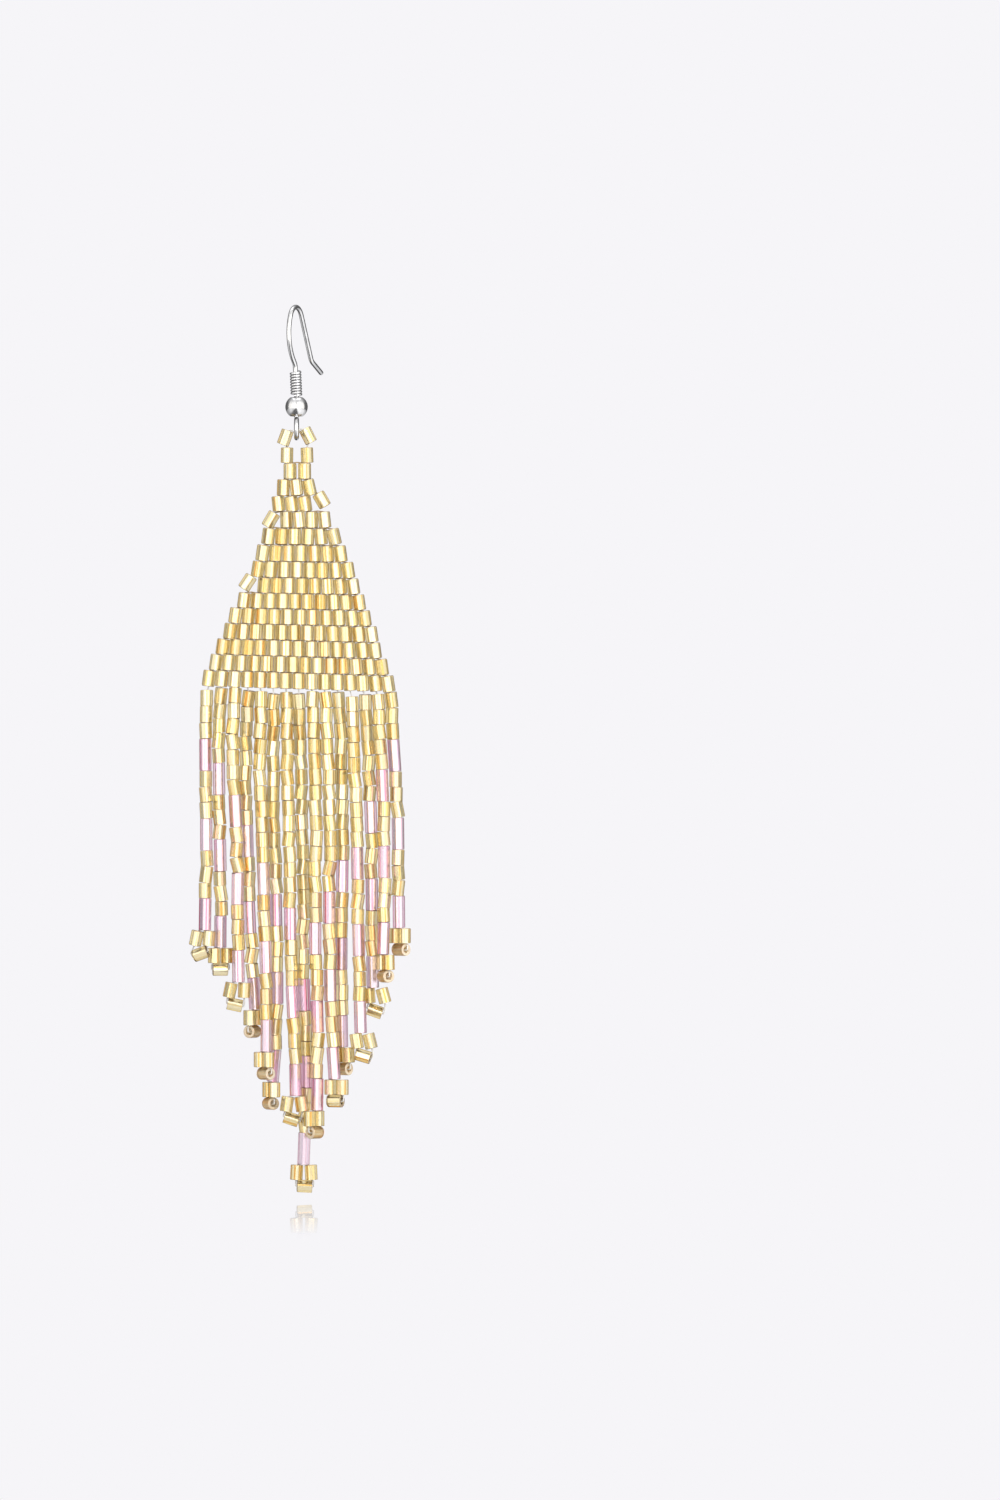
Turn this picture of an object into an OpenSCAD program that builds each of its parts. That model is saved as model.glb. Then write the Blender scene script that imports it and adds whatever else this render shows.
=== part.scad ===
// Beaded dangle earring on a fish hook ear wire: a woven triangle of cylinder
// beads with a fringe of fifteen bead strands. Millimetres, +Z up. The origin is
// the inside of the hook's top, where the earring hangs. -Y is the front, and +X
// is to the right as seen from there.

/* [Beads] */
// Outer diameter of the cylinder beads and the bugle beads
bead_d = 1.6; // [1.4:0.05:1.6]
// Diameter of the hole through each bead
hole_d = 0.7; // [0.6:0.05:0.7]
// Length of a bead of the panel
panel_bead_l = 1.95; // [1.7:0.05:1.95]
// Length of a bead in the triangle at a strand's end
picot_bead_l = 1.9; // [1.7:0.05:1.9]
// Length of thread that one bugle bead takes up
bugle_pitch = 4.32; // [4:0.02:4.32]
// Room between two beads that follow each other
bead_gap = 0.2; // [0.16:0.01:0.22]
// Width of the worn edge at a bead's ends
bead_chamfer = 0.15; // [0.1:0.01:0.18]
// Diameter of the thread
thread_d = 0.2; // [0.16:0.01:0.2]

/* [Ear wire] */
// Diameter of the bent wire
wire_d = 0.65; // [0.6:0.05:0.65]
// Radius of the round top, to the middle of the wire
hook_r = 2.1; // [2:0.05:2.2]
// Turn of the hook's plane away from the fore-and-aft plane
hook_yaw = 22; // [18:1:26]
// Length of the straight back leg
leg_l = 6.6; // [6:0.1:7]
// Length of the kicked-out tail
tail_l = 3.3; // [3:0.1:3.6]
// Radius of the bowed front shank
shank_r = 5.1; // [5:0.05:5.2]
// Radius of the eye, to the middle of the wire
eye_r = 1.28; // [1.25:0.01:1.35]

/* [Coil and ball] */
// Outer diameter of the wound coil
coil_d = 1.58; // [1.55:0.01:1.65]
// Diameter of the coil's fine wire
coil_wire_d = 0.34; // [0.3:0.01:0.34]
// Turns of the coil
coil_turns = 8.5; // [7:0.5:8.5]
// Height from one turn to the next
coil_pitch = 0.375; // [0.37:0.005:0.38]
// Diameter of the round bead under the coil
ball_d = 3.04; // [2.9:0.02:3.2]
// Height of the round bead between its flat ends
ball_h = 2.56; // [2.4:0.02:2.6]
// Diameter of the hole through the round bead
ball_hole_d = 0.84; // [0.8:0.02:0.9]

/* [Hidden] */
bead_r = bead_d / 2;
hole_r = hole_d / 2;
wire_r = wire_d / 2;
thread_r = thread_d / 2;
// Running clearance between pieces that nearly touch
clear = 0.03;
// A sleeve over a joint in the wire: how proud it is, and its width
joint_skin = 0.005;
joint_w = 0.12;
// Depth of the groove between two beads of one run
groove_depth = 0.28;
$fn = 48;

// A bent wire is a table of steps: straight length, bend radius, bend angle.
// A positive angle bends down. Both tables start at the middle of the round top.
LENGTH = 0;
RADIUS = 1;
ANGLE = 2;
BACK_STEPS = [
    [0, hook_r, 60],
    [leg_l, 1.2, -36],
    [tail_l, 1.2, 0],
];
ball_top = -11.86;
eye_top = ball_top - ball_h - 0.04;
core_l = 3.94;
FRONT_STEPS = [
    [0, hook_r, 62],
    [0, shank_r, 74],
    [0.5, 1, -40],
    [core_l, 3, -6],
];
// The step that is the straight core of the coil
CORE = 3;

// Where step i of a bent wire starts: distance out, height and heading
function wire_pose(steps, i) =
    i == 0 ? [0, wire_r, 0] : step_end(wire_pose(steps, i - 1), steps[i - 1]);
function step_end(pose, step) =
    let (
        h = pose[2],
        side = step[ANGLE] < 0 ? -1 : 1,
        r = step[RADIUS] * side,
        out = pose[0] + step[LENGTH] * cos(h),
        up = pose[1] - step[LENGTH] * sin(h),
        h2 = h + step[ANGLE]
    )
    [out - r * sin(h) + r * sin(h2), up - r * cos(h) + r * cos(h2), h2];

foot = wire_pose(FRONT_STEPS, len(FRONT_STEPS));
foot_x = -foot[0] * sin(hook_yaw);
foot_y = -foot[0] * cos(hook_yaw);
eye_z = eye_top - eye_r - wire_r;
// The drop turns about its thread where this lies in the bottom of the eye
hinge_z = eye_z - eye_r + wire_r + thread_r + clear;

// Rows of the panel from the top: bead count, middle of the first and the last
// bead, height of the row, and how far the row falls to the right in degrees
COUNT = 0;
FIRST = 1;
LAST = 2;
HEIGHT = 3;
FALL = 4;
ROWS = [
    [2, -0.81, 1.15, -21.67, 0],
    [3, -1.71, 1.77, -24.1, 0],
    [4, -2.36, 3.0, -26.25, 0.2],
    [5, -3.0, 3.83, -28.3, 0.4],
    [6, -3.73, 5.13, -30.65, 0.5],
    [7, -4.51, 5.98, -32.95, 0.7],
    [8, -5.13, 7.02, -35.15, 0.8],
    [9, -6.05, 7.71, -37.3, 1.0],
    [10, -7.01, 8.49, -39.4, 1.1],
    [11, -8.17, 9.26, -41.5, 1.3],
    [12, -8.9, 10.17, -43.65, 1.4],
    [13, -9.92, 10.64, -45.75, 1.5],
    [14, -10.8, 11.58, -47.95, 1.7],
    [15, -11.75, 12.45, -50.15, 1.8],
];
base_row = len(ROWS) - 1;
// End beads that have tipped out of line: row, bead, sideways, height, lean
TIPPED = [
    [2, 3, 3.46, -25.7, -30],
    [3, 0, -3.4, -28.4, 30],
    [7, 0, -6.55, -36.85, 33],
];
// The web that holds the panel's beads together, and how far it stops short of
// a row's upper and lower face
web_t = 0.8;
web_inset = 0.1;
// The drilled seats for the threads, and how far a thread stops short of the floor
seat_depth = 1.1;
seat_spare = 0.3;

// The hanging loop's beads: sideways, height, lean, length
LOOP_BEADS = [
    [-1.215, -19.67, 0, 1.84],
    [-1.42, -17.21, 20, 1.9],
    [1.55, -16.94, -27, 1.9],
    [1.485, -19.67, 0, 1.84],
];

// The fringe, one row for each strand from left to right: start below the
// fringe line, pitch of its gold beads, gold beads before the first bugle, how
// far it lies to the front halfway and at its end, and its place sideways at
// every sway_step down
START = 0;
PITCH = 1;
LEAD = 2;
FRONT_MID = 3;
FRONT_END = 4;
SWAY = 5;
fringe_z = -51.2;
sway_step = 6;
gap_gold = 3;
STRANDS = [
    [0.3, 2.15, 3, 0.3, 0.5, [-12.0, -12.25, -12.2, -12.1, -12.1, -12.3]],
    [0.0, 2.0, 5, -0.3, -0.5, [-10.1, -10.5, -10.4, -10.35, -10.2, -10.2, -10.25]],
    [0.0, 2.05, 7, 0.7, 0.7, [-8.2, -8.6, -8.4, -8.1, -7.8, -7.9, -7.8, -7.7]],
    [0.4, 2.0, 9, -0.7, -0.7, [-6.4, -6.8, -6.9, -6.65, -6.5, -6.35, -6.0, -5.5]],
    [0.5, 2.09, 11, 0.5, 0.9, [-4.7, -4.9, -4.9, -4.7, -4.4, -4.2, -4.1, -3.9, -3.95, -3.85]],
    [0.8, 2.07, 13, -0.6, -0.9, [-3.0, -3.1, -3.1, -3.0, -2.8, -2.7, -2.55, -2.55, -2.8, -3.3]],
    [0.6, 2.07, 14, 0.4, 0.9, [-1.3, -1.2, -1.2, -1.0, -0.85, -0.8, -0.75, -0.45, -0.1, 0.0]],
    [0.8, 2.02, 19, -0.6, -0.9, [0.4, 0.5, 0.65, 0.85, 1.0, 0.95, 0.95, 1.15, 1.45, 1.45, 1.1, 0.9]],
    [0.5, 2.07, 15, 0.5, 0.8, [2.2, 2.45, 2.65, 2.65, 2.65, 2.6, 2.6, 2.85, 3.0, 2.85]],
    [0.6, 2.06, 13, 0.4, 0.8, [3.95, 4.2, 4.5, 4.6, 4.5, 4.5, 4.55, 4.65, 4.95, 5.35]],
    [0.6, 2.05, 11, -0.5, -0.9, [5.7, 6.05, 6.25, 6.3, 6.25, 6.15, 6.1, 6.1, 6.2]],
    [1.2, 2.02, 10, 0.3, 0.7, [7.55, 7.8, 8.05, 8.2, 8.3, 8.4, 8.55, 8.65, 8.8]],
    [0.9, 2.04, 7, -0.5, -1.0, [9.3, 9.65, 9.95, 10.15, 10.2, 10.25, 10.3, 10.4]],
    [0.9, 2.0, 5, 0.4, 0.9, [11.05, 11.4, 11.65, 11.85, 11.9, 11.9, 11.7]],
    [0.6, 2.08, 3, -0.3, -0.5, [12.8, 13.1, 13.5, 13.8, 13.8, 13.9]],
];

// The three beads at each strand's end: the middle of the hanging pair sideways,
// how far each hangs from that middle, yaw of all three, lean of the left and of
// the right bead, and for the bead across below them its place sideways, its
// depth below the strand's end and its lean. A positive lean is top to the right.
SHIFT = 0;
SPREAD = 1;
YAW = 2;
LEFT = 3;
RIGHT = 4;
ACROSS_X = 5;
ACROSS_Z = 6;
ACROSS = 7;
PICOTS = [
    [-0.3, 0.92, -15, 12, 5, -0.6, 3.2, -20],
    [0.05, 0.87, 8, 0, 0, 0.0, 3.0, 0],
    [-0.18, 0.95, 0, 12, 2, -0.5, 3.1, 12],
    [-0.35, 0.87, 62, 0, 0, -0.4, 3.0, 0],
    [-0.35, 0.87, -50, 0, 0, -0.1, 3.0, 0],
    [-0.2, 0.87, -64, 0, 0, -0.3, 3.0, 0],
    [-0.23, 0.98, 0, 8, -8, -0.6, 3.15, 18],
    [0.06, 0.98, 5, 3, -3, 0.15, 3.0, 3],
    [-0.4, 0.87, 50, 0, 0, -0.3, 3.0, 0],
    [0.25, 0.87, -25, 0, 0, 0.1, 3.0, 0],
    [0.2, 0.87, -40, -4, -4, 0.2, 3.0, 0],
    [0.35, 0.92, -12, -9, -14, 0.4, 3.15, 16],
    [0.45, 0.98, 0, -4, -15, 0.3, 3.2, 20],
    [0.34, 0.87, -62, 0, -3, 0.34, 3.0, 0],
    [0.15, 0.87, -45, 0, 0, 0.3, 3.0, 0],
];
picot_drop = 0.12;
picot_slack = 0.26;

function strand_name(i, what) = str("strand_", i < 9 ? "0" : "", i + 1, "_", what);

// Shared shapes

function unit(v) = v / norm(v);
function sum_to(list, n) = n == 0 ? 0 : list[n - 1] + sum_to(list, n - 1);

// Puts something that stands along +Z at p, pointing to q
module along(p, q) {
    v = q - p;
    translate(p)
        rotate([0, acos(v.z / norm(v)), atan2(v.y, v.x)])
            children();
}

// A string of count drilled beads from z = 0 up, joined at the floor of the
// narrow groove between one bead and the next
module bead_run(count, pitch, gap = bead_gap) {
    groove_r = bead_r - groove_depth;
    rotate_extrude()
        polygon(concat(
            [[hole_r, 0]],
            [
                for (i = [0:count - 1])
                    let (low = i * pitch, high = low + pitch - gap)
                    each concat(
                        i > 0 ? [[groove_r, low]] : [],
                        [
                            [bead_r - bead_chamfer, low],
                            [bead_r, low + bead_chamfer],
                            [bead_r, high - bead_chamfer],
                            [bead_r - bead_chamfer, high],
                        ],
                        i < count - 1 ? [[groove_r, high]] : []
                    )
            ],
            [[hole_r, count * pitch - gap]]
        ));
}

module bead(length) {
    bead_run(1, length, 0);
}

// A round thread or wire swept along points, with a flat end face at each end
module swept(points, r, sides) {
    n = len(points);
    tangents = [
        for (i = [0:n - 1])
            i == 0 ? unit(points[1] - points[0])
            : i == n - 1 ? unit(points[i] - points[i - 1])
            : unit(unit(points[i + 1] - points[i]) + unit(points[i] - points[i - 1]))
    ];
    start = unit(cross(tangents[0], [0.31, 0.94, 0.13]));
    normals = carried(tangents, start, 0);
    rings = [
        for (i = [0:n - 1], k = [0:sides - 1])
            let (a = 360 * k / sides)
            points[i] + r * (cos(a) * normals[i] + sin(a) * cross(tangents[i], normals[i]))
    ];
    walls = [
        for (i = [0:n - 2], k = [0:sides - 1])
            let (a = i * sides + k, b = i * sides + (k + 1) % sides)
            each [[a, a + sides, b], [b, a + sides, b + sides]]
    ];
    first_cap = [for (k = [0:sides - 1]) k];
    last_cap = [for (k = [sides - 1:-1:0]) (n - 1) * sides + k];
    polyhedron(rings, concat(walls, [first_cap, last_cap]));
}
function carried(tangents, normal, i) =
    i == len(tangents) ? []
    : let (m = unit(normal - (normal * tangents[i]) * tangents[i]))
      concat([m], carried(tangents, m, i + 1));

// Ear wire, coil and ball

// A sleeve a few thousandths of a millimetre proud, which makes the straight and
// the bent lengths of a wire that meet there one solid
module wire_joint() {
    rotate([0, 90, 0])
        cylinder(r = wire_r + joint_skin, h = joint_w, center = true);
}

module bent_wire(steps) {
    for (i = [0:len(steps) - 1]) {
        pose = wire_pose(steps, i);
        step = steps[i];
        translate([pose[0], 0, pose[1]])
            rotate([0, pose[2], 0]) {
                wire_joint();
                if (step[LENGTH] > 0)
                    rotate([0, 90, 0])
                        cylinder(r = wire_r, h = step[LENGTH]);
                if (step[ANGLE] != 0)
                    translate([step[LENGTH], 0, 0]) {
                        wire_joint();
                        wire_bend(step[RADIUS], step[ANGLE]);
                    }
            }
    }
}

// A bend that starts at the origin along +X and turns down by angle
module wire_bend(r, angle) {
    side = angle > 0 ? 1 : -1;
    translate([0, 0, -side * r])
        rotate([90, 0, 0])
            rotate([0, 0, angle > 0 ? 90 - angle : -90])
                rotate_extrude(angle = abs(angle))
                    translate([r, 0])
                        circle(r = wire_r);
}

// The filed, rounded end of the wire
module wire_nose() {
    rotate([0, 90, 0])
        rotate_extrude()
            polygon([
                [0, -0.3], [wire_r - 0.02, -0.3], [wire_r - 0.02, -0.02],
                [0.8 * wire_r, 0.14], [0.45 * wire_r, 0.22], [0, 0.22],
            ]);
}

module ear_wire() {
    tip = wire_pose(BACK_STEPS, len(BACK_STEPS));
    color("silver") {
        rotate([0, 0, 90 - hook_yaw]) {
            bent_wire(BACK_STEPS);
            translate([tip[0], 0, tip[1]])
                rotate([0, tip[2], 0])
                    wire_nose();
            mirror([1, 0, 0])
                bent_wire(FRONT_STEPS);
        }
        translate([foot_x, foot_y, eye_top - wire_r])
            cylinder(r = wire_r, h = foot[1] - eye_top + wire_r);
        translate([foot_x, foot_y, foot[1]])
            cylinder(r = wire_r + joint_skin, h = joint_w, center = true);
        translate([foot_x, foot_y, eye_z])
            rotate([0, 90, 0])
                rotate_extrude()
                    translate([eye_r, 0])
                        circle(r = wire_r);
    }
}

module wire_coil() {
    helix_r = coil_d / 2 - coil_wire_d / 2;
    helix_h = coil_turns * coil_pitch;
    per_turn = 14;
    core = wire_pose(FRONT_STEPS, CORE);
    lean = core[2] - 90;
    foot_up = ball_top + coil_wire_d / 2 + helix_r * sin(abs(lean)) + clear;
    foot_out = -core[0] + (core[1] - foot_up) * tan(lean);
    color("silver")
        rotate([0, 0, 90 - hook_yaw])
            translate([foot_out, 0, foot_up])
                rotate([0, -lean, 0])
                    swept(
                        [
                            for (i = [0:coil_turns * per_turn])
                                let (a = 360 * i / per_turn)
                                [helix_r * cos(a), helix_r * sin(a), helix_h * i / (coil_turns * per_turn)]
                        ],
                        coil_wire_d / 2, 6
                    );
}

module ball_bead() {
    color("silver")
        translate([foot_x, foot_y, ball_top - ball_h / 2])
            difference() {
                intersection() {
                    sphere(r = ball_d / 2);
                    cube([ball_d, ball_d, ball_h], center = true);
                }
                cylinder(d = ball_hole_d, h = ball_h + 1, center = true);
            }
}

// Hanging loop

function loop_end(row, end) = [
    row[0] + end * row[3] / 2 * sin(row[2]), 0, row[1] + end * row[3] / 2 * cos(row[2])
];

module loop_beads() {
    color("khaki")
        translate([0, foot_y, 0])
            for (row = LOOP_BEADS)
                along(loop_end(row, -1), loop_end(row, 1))
                    bead(row[3]);
}

// A point near the upper end of a loop bead: sideways, towards the eye, and up
// along the bead from its end face
function by_end(row, side, up) =
    let (to_eye = row[0] < 0 ? 1 : -1)
    loop_end(row, 1)
        + side * to_eye * [cos(row[2]), 0, -sin(row[2])]
        + up * [sin(row[2]), 0, cos(row[2])];

module loop_thread() {
    left = LOOP_BEADS[0];
    left_lean = LOOP_BEADS[1];
    right_lean = LOOP_BEADS[2];
    right = LOOP_BEADS[3];
    seat_top = ROWS[0][HEIGHT] + panel_bead_l / 2;
    seat_low = seat_top - seat_depth + seat_spare;
    // The thread keeps clear of the holes' rims and of the beads' upper edges
    left_x = (ROWS[0][FIRST] + left[0]) / 2;
    right_x = (ROWS[0][LAST] + right[0]) / 2;
    off_rim = thread_r + 2 * clear;
    over = bead_r - bead_chamfer;
    color("white")
        translate([0, foot_y, 0])
            swept([
                [left_x, 0, seat_low],
                [left_x, 0, left[1] + left[3] / 2],
                loop_end(left_lean, -1),
                by_end(left_lean, off_rim, -0.1),
                by_end(left_lean, hole_r - 2 * clear, off_rim),
                by_end(left_lean, over, off_rim),
                [foot_x - 0.12, 0, hinge_z + 0.05],
                [foot_x + 0.12, 0, hinge_z + 0.05],
                by_end(right_lean, over, off_rim),
                by_end(right_lean, hole_r - 2 * clear, off_rim),
                by_end(right_lean, off_rim, -0.1),
                loop_end(right_lean, -1),
                [right_x, 0, right[1] + right[3] / 2],
                [right_x, 0, seat_low],
            ], thread_r, 6);
}

// Woven panel

function tipped(r, i) = len([for (t = TIPPED) if (t[0] == r && t[1] == i) t]) > 0;
function bead_x(r, i) =
    ROWS[r][FIRST] + i * (ROWS[r][LAST] - ROWS[r][FIRST]) / (ROWS[r][COUNT] - 1);
function bead_z(r, i) = ROWS[r][HEIGHT] - bead_x(r, i) * tan(ROWS[r][FALL]);
// Bottom of bead i of the base row, where strand i leaves it
function seat(i) = [bead_x(base_row, i), 0, bead_z(base_row, i) - panel_bead_l / 2];

module panel_row(r) {
    row = ROWS[r];
    for (i = [0:row[COUNT] - 1])
        if (!tipped(r, i))
            translate([bead_x(r, i), 0, bead_z(r, i)])
                cylinder(r = bead_r, h = panel_bead_l, center = true);
    translate([0, 0, row[HEIGHT]])
        rotate([0, row[FALL], 0])
            translate([row[FIRST], -web_t / 2, -panel_bead_l / 2 + web_inset])
                cube([row[LAST] - row[FIRST], web_t, panel_bead_l - 2 * web_inset]);
}

// Thread and bead ends that bridge the gap between a row and the one above it
module row_link(r) {
    above = ROWS[r - 1];
    translate([above[FIRST], -web_t / 2, ROWS[r][HEIGHT]])
        cube([above[LAST] - above[FIRST], web_t, above[HEIGHT] - ROWS[r][HEIGHT]]);
}

module woven_panel() {
    seat_top = ROWS[0][HEIGHT] + panel_bead_l / 2;
    color("gold")
        translate([0, foot_y, 0])
            difference() {
                union() {
                    for (r = [0:base_row])
                        panel_row(r);
                    for (r = [1:base_row])
                        row_link(r);
                    for (t = TIPPED)
                        translate([t[2], 0, t[3]])
                            rotate([0, t[4], 0])
                                cylinder(r = bead_r, h = panel_bead_l, center = true);
                }
                for (i = [0:len(STRANDS) - 1])
                    translate(seat(i) - [0, 0, 1])
                        cylinder(r = hole_r, h = seat_depth + 1);
                for (x = [ROWS[0][FIRST], ROWS[0][LAST]])
                    translate([x, 0, seat_top - seat_depth])
                        cylinder(r = hole_r, h = seat_depth + 1);
            }
}

// Fringe

// A strand is a list of runs: a number of gold beads, or 0 for one bugle bead.
// The beads before the first bugle are split into straight runs of up to four.
function split_runs(n) =
    let (k = ceil(n / 4))
    [for (i = [0:k - 1]) floor((i + 1) * n / k) - floor(i * n / k)];
function runs(row) = concat(split_runs(row[LEAD]), [0, gap_gold, 0, gap_gold, 0]);
function run_l(row, run) = run == 0 ? bugle_pitch : run * row[PITCH];
function run_starts(row) =
    let (lengths = [for (run = runs(row)) run_l(row, run)])
    [for (k = [0:len(lengths)]) sum_to(lengths, k)];
function strand_l(row) = run_starts(row)[len(runs(row))];

// The place of a strand at s below its start
function route(row, s) =
    let (l = strand_l(row), last = len(row[SWAY]) - 1)
    [
        lookup(s, [for (i = [0:last]) [i * sway_step, row[SWAY][i]]]),
        -lookup(s, [[0, 0], [5, row[FRONT_MID]], [0.7 * l, row[FRONT_MID]], [l, row[FRONT_END]]]),
        fringe_z - row[START] - s
    ];

// A bead of the triangle at a strand's end runs from the first to the second of
// two points: 0 is the left bead, 1 the right one and 2 the one across below
function picot_end(i, which, end) =
    let (
        p = PICOTS[i],
        half = end * picot_bead_l / 2,
        side = which == 0 ? -p[SPREAD] : p[SPREAD],
        lean = which == 0 ? p[LEFT] : p[RIGHT],
        x = which == 2 ? half * cos(p[ACROSS]) : side + half * sin(lean),
        z = which == 2
            ? -p[ACROSS_Z] - half * sin(p[ACROSS])
            : -picot_drop - picot_bead_l / 2 + half * cos(lean)
    )
    picot_point(i, which == 2 ? p[ACROSS_X] : p[SHIFT], x, z);
// A point of strand i's end triangle: x from its own middle, before the yaw
function picot_point(i, middle, x, z) =
    route(STRANDS[i], strand_l(STRANDS[i]))
        + [middle + x * cos(PICOTS[i][YAW]), x * sin(PICOTS[i][YAW]), z];

// A point of the thread beside an end of the bead across, up from its axis
function beside_across(i, end, up) =
    let (
        yaw = PICOTS[i][YAW],
        lean = PICOTS[i][ACROSS],
        x = end * picot_slack * cos(lean) + up * sin(lean)
    )
    picot_end(i, 2, end)
        + [x * cos(yaw), x * sin(yaw), up * cos(lean) - end * picot_slack * sin(lean)];

module strand_gold(i) {
    row = STRANDS[i];
    list = runs(row);
    starts = run_starts(row);
    color("khaki")
        translate([0, foot_y, 0]) {
            for (k = [0:len(list) - 1])
                if (list[k] > 0)
                    along(route(row, starts[k]), route(row, starts[k + 1]))
                        bead_run(list[k], row[PITCH]);
            for (which = [0:2])
                along(picot_end(i, which, -1), picot_end(i, which, 1))
                    bead(picot_bead_l);
        }
}

module strand_bugles(i) {
    row = STRANDS[i];
    list = runs(row);
    starts = run_starts(row);
    color("pink")
        translate([0, foot_y, 0])
            for (k = [0:len(list) - 1])
                if (list[k] == 0)
                    along(route(row, starts[k]), route(row, starts[k + 1]))
                        bead(bugle_pitch - bead_gap);
}

module strand_thread(i) {
    row = STRANDS[i];
    starts = run_starts(row);
    end = route(row, strand_l(row));
    above = [0, 0, thread_r];
    color("white")
        translate([0, foot_y, 0])
            swept(concat(
                [seat(i) + [0, 0, seat_depth - seat_spare], seat(i)],
                [for (k = [0:len(starts) - 2]) route(row, starts[k])],
                [
                    end + [0, 0, 0.6 * bead_gap],
                    picot_end(i, 0, 1) + above,
                    picot_end(i, 0, -1),
                    beside_across(i, -1, bead_r - bead_chamfer),
                    beside_across(i, -1, thread_r),
                    picot_end(i, 2, -1),
                    picot_end(i, 2, 1),
                    beside_across(i, 1, thread_r),
                    beside_across(i, 1, bead_r - bead_chamfer),
                    picot_end(i, 1, -1),
                    picot_end(i, 1, 1) + above,
                ]
            ), thread_r, 6);
}

ear_wire();
wire_coil();
ball_bead();
loop_beads();
loop_thread();
woven_panel();
for (i = [0:len(STRANDS) - 1]) {
    strand_gold(i);
    strand_bugles(i);
    strand_thread(i);
}
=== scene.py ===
"""Looks of the beaded dangle earring: every bead as a drilled and lined glass tube, the sewing
thread, and the silvered wire. Sizes in the tables are millimetres, in the frame of the solids."""

import math
import random

import bpy
import numpy as np
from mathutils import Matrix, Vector

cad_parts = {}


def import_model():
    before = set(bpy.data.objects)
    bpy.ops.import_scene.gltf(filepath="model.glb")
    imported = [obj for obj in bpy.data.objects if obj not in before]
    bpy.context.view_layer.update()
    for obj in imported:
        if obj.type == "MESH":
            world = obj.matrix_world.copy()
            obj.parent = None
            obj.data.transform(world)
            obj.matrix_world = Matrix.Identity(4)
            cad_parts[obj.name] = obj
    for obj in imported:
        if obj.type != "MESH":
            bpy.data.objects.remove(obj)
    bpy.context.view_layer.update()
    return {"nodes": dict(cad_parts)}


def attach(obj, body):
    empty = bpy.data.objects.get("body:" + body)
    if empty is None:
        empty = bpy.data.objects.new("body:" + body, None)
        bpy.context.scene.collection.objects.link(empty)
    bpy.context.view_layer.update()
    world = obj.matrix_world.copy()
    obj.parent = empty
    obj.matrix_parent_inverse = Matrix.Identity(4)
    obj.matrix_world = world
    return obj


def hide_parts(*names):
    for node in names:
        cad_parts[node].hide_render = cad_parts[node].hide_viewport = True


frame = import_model()
rng = random.Random(24)
MM = 0.001

# Beads
STRAND_BEAD_R = 0.86
BUGLE_R = 0.84
LOOP_BEAD_R = 0.84
PANEL_BEAD_R = 0.88
PICOT_BEAD_R = 0.85
PICOT_BEAD_L = 2.04
SIDES = 32
# Rounded ends, two points of the rounding by share of it, and the narrow band beside it that keeps
# the wall straight
BEAD_EDGE = 0.1
PANEL_BEAD_EDGE = 0.2
ROUND_LITTLE, ROUND_MUCH = 0.12, 0.45
EDGE_BAND = 0.02
# Hole
HOLE_R = 0.48
HOLE_NARROWING = 0.9
HOLE_SQUARENESS = 3.2
HOLE_MOUTH = 0.05
# Differences from bead to bead: radius, hole and rounding by share, slant of the cut, streaks
RADIUS_VARIES = 0.008
HOLE_VARIES = (0.92, 1.06)
EDGE_VARIES = (0.85, 1.1)
CUT_SLANT = 0.02
STREAK_SHIFT = 40
# Materials of a bead, and the one of each band of its profile
GLASS, RIM, LINING = 0, 1, 2
BEAD_BANDS = [GLASS] * 4 + [RIM] * 4 + [LINING] + [RIM] * 4 + [GLASS]

# Panel
PANEL_TOP = -20.72
PANEL_END_L = 2.2
PANEL_GAP = 0.01
PANEL_SIDE_GAP = 0.004
# Lean in degrees of the beads at its edge, from row FAN_ROWS on in full
PANEL_FAN = 8
FAN_ROWS = 4
# Random lean in degrees, random height
PANEL_LEAN = 0.8
PANEL_UNEVEN = 0.02
# Bridges of thread; they bend over a rim at a share of their dip and of their rise
BRIDGE_R = 0.09
BRIDGE_DIP = 0.5
BRIDGE_REACH = 2.0
BRIDGE_SIDES = 8
BEND_DIP, BEND_RISE = 0.1, 0.5

# Fringe: gold beads stand in straight runs of up to LONGEST_RUN, and GAP_GOLD between two bugles
FRINGE_Z = -51.2
FRINGE_RISE = 0.13
LONGEST_RUN = 4
GAP_GOLD = 3
BUGLE_PITCH = 4.32
BEAD_GAP = 0.01
# Random lean of a gold bead, and random height of the place where two meet
BEAD_LEAN = 0.1
BEAD_UNEVEN = 0.09
# Random swing of these places to the sides, and its share to front and back. At s down the strand
# it is (s + SWING_START) / SWING_GROWTH of the whole.
BEAD_SWING = 0.16
SWING_DEPTH = 0.3
SWING_START = 2
SWING_GROWTH = 10
# A strand reaches its place in front or behind at SPREAD_L, and leaves it for the one of its end
# after SPREAD_HOLD of its length. Its sideways places are SWAY_STEP apart.
SPREAD_L = 5
SPREAD_HOLD = 0.7
SWAY_STEP = 6
# End triangles
PICOT_LIFT = 0.06
PICOT_DROP = 0.05
# Turn in degrees from which the bead across a strand's end shows its hole; from there it takes
# the paler copy of the gold, painted light.
LIT_END_ON_YAW = 40

# Ear wire
WIRE_R = 0.325
WIRE_SIDES = 20
HOOK_R = 2.1
HOOK_YAW = 22
BEND_SEGMENT = 0.25
STRAIGHT_SEGMENT = 0.8
# Straight length, bend radius, bend angle
BACK_STEPS = [(0, HOOK_R, 60), (6.6, 1.2, -36), (3.3, 1.2, 0)]
FRONT_STEPS = [(0, HOOK_R, 62), (0, 5.1, 74), (0.5, 1.0, -40), (3.94, 3.0, -6)]
# The step that is the straight core of the coil
CORE = 3
# Rounded tip: how far past the end of the path, share of the wire's radius
TIP = [(0.09, 0.93), (0.16, 0.75), (0.205, 0.45), (0.218, 0.12)]
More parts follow.
